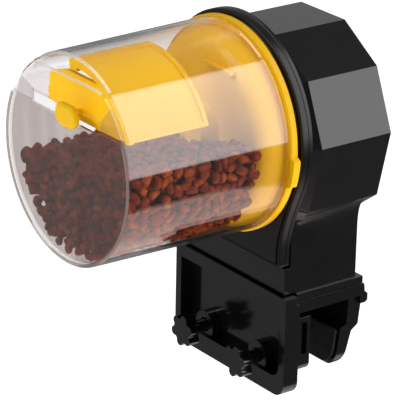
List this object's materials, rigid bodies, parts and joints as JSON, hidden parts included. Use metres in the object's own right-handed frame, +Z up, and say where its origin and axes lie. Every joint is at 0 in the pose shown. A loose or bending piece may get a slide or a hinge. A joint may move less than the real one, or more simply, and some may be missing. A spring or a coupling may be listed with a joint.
{
  "type": "automatic pet feeder",
  "caption": "Clear rotating feed drum with a swinging yellow gate on a faceted black battery head, held to a tank rim by a screw clamp.",
  "frame": {"origin": "On the rim seat: the underside of the clamp plate, midway between the pressure pad and the rear jaw pad.", "axes": "+Z up; +Y to the back, away from the drum and along the drum axis; +X to the right seen from the drum end."},
  "size_m": [0.0762, 0.1076, 0.1282],
  "materials": {
    "black_plastic": "satin moulded black",
    "ring_plastic": "fine matt moulded black",
    "yellow_plastic": "glossy moulded yellow",
    "clear_plastic": "clear, slightly grey",
    "dry_feed": "dry brown pellets",
    "rubber_pad": "matt",
    "steel": "bright",
    "brass": "turned",
    "white_nylon": "nylon",
    "board_green": "solder mask",
    "grey_plastic": "satin",
    "cell_sleeve": "printed sleeve",
    "window": "tinted clear"
  },
  "bodies": {
    "bracket": {"clamp_bracket": "black_plastic", "rear_jaw_pad": "rubber_pad"},
    "presser": {"pressure_plate": "black_plastic", "pressure_pad": "rubber_pad"},
    "screw_left": {"thumb_screw_left": "black_plastic"},
    "screw_right": {"thumb_screw_right": "black_plastic"},
    "head": {"housing": "black_plastic", "front_plate": "ring_plastic", "back_cover": "black_plastic", "circuit_board": "board_green", "lcd_module": "grey_plastic", "lcd_window": "window", "position_switch": "grey_plastic", "case_screw_1": "steel", "case_screw_2": "steel", "case_screw_3": "steel", "case_screw_4": "steel", "battery_1": "cell_sleeve", "battery_2": "cell_sleeve", "battery_contact_left": "steel", "battery_contact_right": "steel", "motor": "steel", "gear_plate": "grey_plastic", "idler_pin": "steel"},
    "drive": {"drive_base": "yellow_plastic", "drive_shaft": "white_nylon", "output_gear": "white_nylon"},
    "idler": {"idler_gear": "white_nylon"},
    "pinion": {"motor_pinion": "brass"},
    "drum": {"drum_shell": "clear_plastic", "feed_pile": "dry_feed"},
    "gate": {"feed_gate": "yellow_plastic"},
    "door": {"battery_door": "black_plastic"},
    "button_1": {"button_1": "yellow_plastic"},
    "button_2": {"button_2": "yellow_plastic"},
    "button_3": {"button_3": "yellow_plastic"},
    "button_4": {"button_4": "yellow_plastic"}
  },
  "joints": [
    {"name": "head_slide", "type": "slide", "parent": "bracket", "child": "head", "axis": [0, 1, 0], "range_m": [0, 0.02]},
    {"name": "clamp_slide", "type": "slide", "parent": "bracket", "child": "presser", "axis": [0, 1, 0], "range_m": [0, 0.0042]},
    {"name": "screw_left_turn", "type": "hinge", "parent": "presser", "child": "screw_left", "pos_m": [-0.015, -0.02, -0.018], "axis": [0, 1, 0], "range_deg": [0, 760]},
    {"name": "screw_right_turn", "type": "hinge", "parent": "presser", "child": "screw_right", "pos_m": [0.015, -0.02, -0.018], "axis": [0, 1, 0], "range_deg": [0, 760]},
    {"name": "drum_spin", "type": "hinge", "parent": "head", "child": "drive", "pos_m": [0, -0.0265, 0.062], "axis": [0, 1, 0], "continuous": true},
    {"name": "idler_spin", "type": "hinge", "parent": "head", "child": "idler", "pos_m": [0.01256, -0.0085, 0.07782], "axis": [0, 1, 0], "continuous": true},
    {"name": "pinion_spin", "type": "hinge", "parent": "head", "child": "pinion", "pos_m": [0.00316, -0.0085, 0.0856], "axis": [0, 1, 0], "continuous": true},
    {"name": "drum_pull", "type": "slide", "parent": "drive", "child": "drum", "axis": [0, -1, 0], "range_m": [0, 0.02]},
    {"name": "gate_turn", "type": "hinge", "parent": "drum", "child": "gate", "pos_m": [0, -0.0665, 0.062], "axis": [0, -1, 0], "range_deg": [-16, 22]},
    {"name": "door_hinge", "type": "hinge", "parent": "head", "child": "door", "pos_m": [0, 0.0122, 0.0156], "axis": [-1, 0, 0], "range_deg": [0, 85]},
    {"name": "button_1_press", "type": "slide", "parent": "head", "child": "button_1", "axis": [0, -1, 0], "range_m": [0, 0.001], "stiffness_N_per_m": 400, "springref_m": -0.0005},
    {"name": "button_2_press", "type": "slide", "parent": "head", "child": "button_2", "axis": [0, -1, 0], "range_m": [0, 0.001], "stiffness_N_per_m": 400, "springref_m": -0.0005},
    {"name": "button_3_press", "type": "slide", "parent": "head", "child": "button_3", "axis": [0, -1, 0], "range_m": [0, 0.001], "stiffness_N_per_m": 400, "springref_m": -0.0005},
    {"name": "button_4_press", "type": "slide", "parent": "head", "child": "button_4", "axis": [0, -1, 0], "range_m": [0, 0.001], "stiffness_N_per_m": 400, "springref_m": -0.0005}
  ],
  "couplings": [
    {"joint": "idler_spin", "follows": "drum_spin", "ratio": -1.5},
    {"joint": "pinion_spin", "follows": "drum_spin", "ratio": 3},
    {"joint": "screw_left_turn", "follows": "clamp_slide", "rad_per_m": 3141.6},
    {"joint": "screw_right_turn", "follows": "clamp_slide", "rad_per_m": 3141.6}
  ]
}
